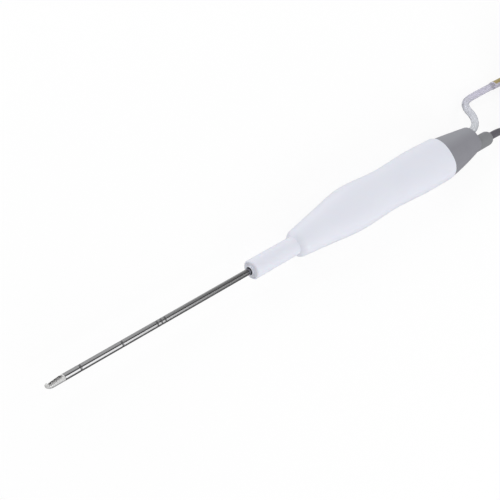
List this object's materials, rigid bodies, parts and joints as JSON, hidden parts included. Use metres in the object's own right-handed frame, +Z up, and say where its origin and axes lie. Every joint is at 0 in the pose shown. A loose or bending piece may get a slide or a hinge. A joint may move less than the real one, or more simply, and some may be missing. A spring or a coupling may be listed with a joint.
{
  "type": "plasma ablation wand",
  "caption": "Slim surgical plasma wand: steel shaft with ceramic tip, two-shell grip, rear boot, power cable with plug and suction tube with connector.",
  "frame": {"origin": "centre of the wand's bounding box on the surface it lies on, without its cords", "axes": "+X from the tip to the rear along the shaft, +Y towards the side that the electrode faces, +Z up: the wand lies on its side"},
  "size_m": [0.702, 0.0618, 0.0437],
  "materials": {
    "brushed_steel": "fine drawn steel",
    "alumina_ceramic": "satin white ceramic",
    "electrode_metal": "bare electrode metal",
    "white_plastic": "fine satin moulding",
    "dark_sleeve": "satin",
    "boot_grey": "satin elastomer",
    "cable_grey": "satin jacket",
    "clear_tube": "clear soft plastic",
    "amber_plastic": "clear amber",
    "natural_plastic": "plain moulding",
    "brass": "plated",
    "red_insulation": "satin insulation",
    "black_plastic": "satin"
  },
  "bodies": {
    "root": {"shaft_tube": "brushed_steel", "tip_insulator": "alumina_ceramic", "active_electrode": "electrode_metal", "suction_lumen": "natural_plastic", "electrode_wire": "red_insulation", "shaft_bushing": "dark_sleeve", "shaft_hub": "natural_plastic", "return_clip": "brass", "suction_adapter": "natural_plastic", "inner_hose": "clear_tube", "active_crimp": "brass", "active_lead": "red_insulation", "return_lead": "black_plastic", "handle_shell_right": "white_plastic", "handle_shell_left": "white_plastic", "rear_boot": "boot_grey", "cable_gland": "boot_grey", "power_cable": "cable_grey", "cable_hank": "cable_grey", "cable_tie": "black_plastic", "cable_tail": "cable_grey", "plug_shell": "boot_grey", "plug_insert": "black_plastic", "plug_pin_1": "brass", "plug_pin_2": "brass", "plug_pin_3": "brass", "plug_pin_4": "brass", "plug_pin_5": "brass", "plug_pin_6": "brass", "plug_pin_7": "brass", "plug_pin_8": "brass", "plug_pin_9": "brass", "plug_pin_10": "brass", "plug_relief": "boot_grey", "suction_tube": "clear_tube", "tube_collar": "amber_plastic", "tube_hank": "clear_tube", "tube_tie": "black_plastic", "tube_tail": "clear_tube", "suction_connector": "clear_tube"}
  },
  "joints": []
}
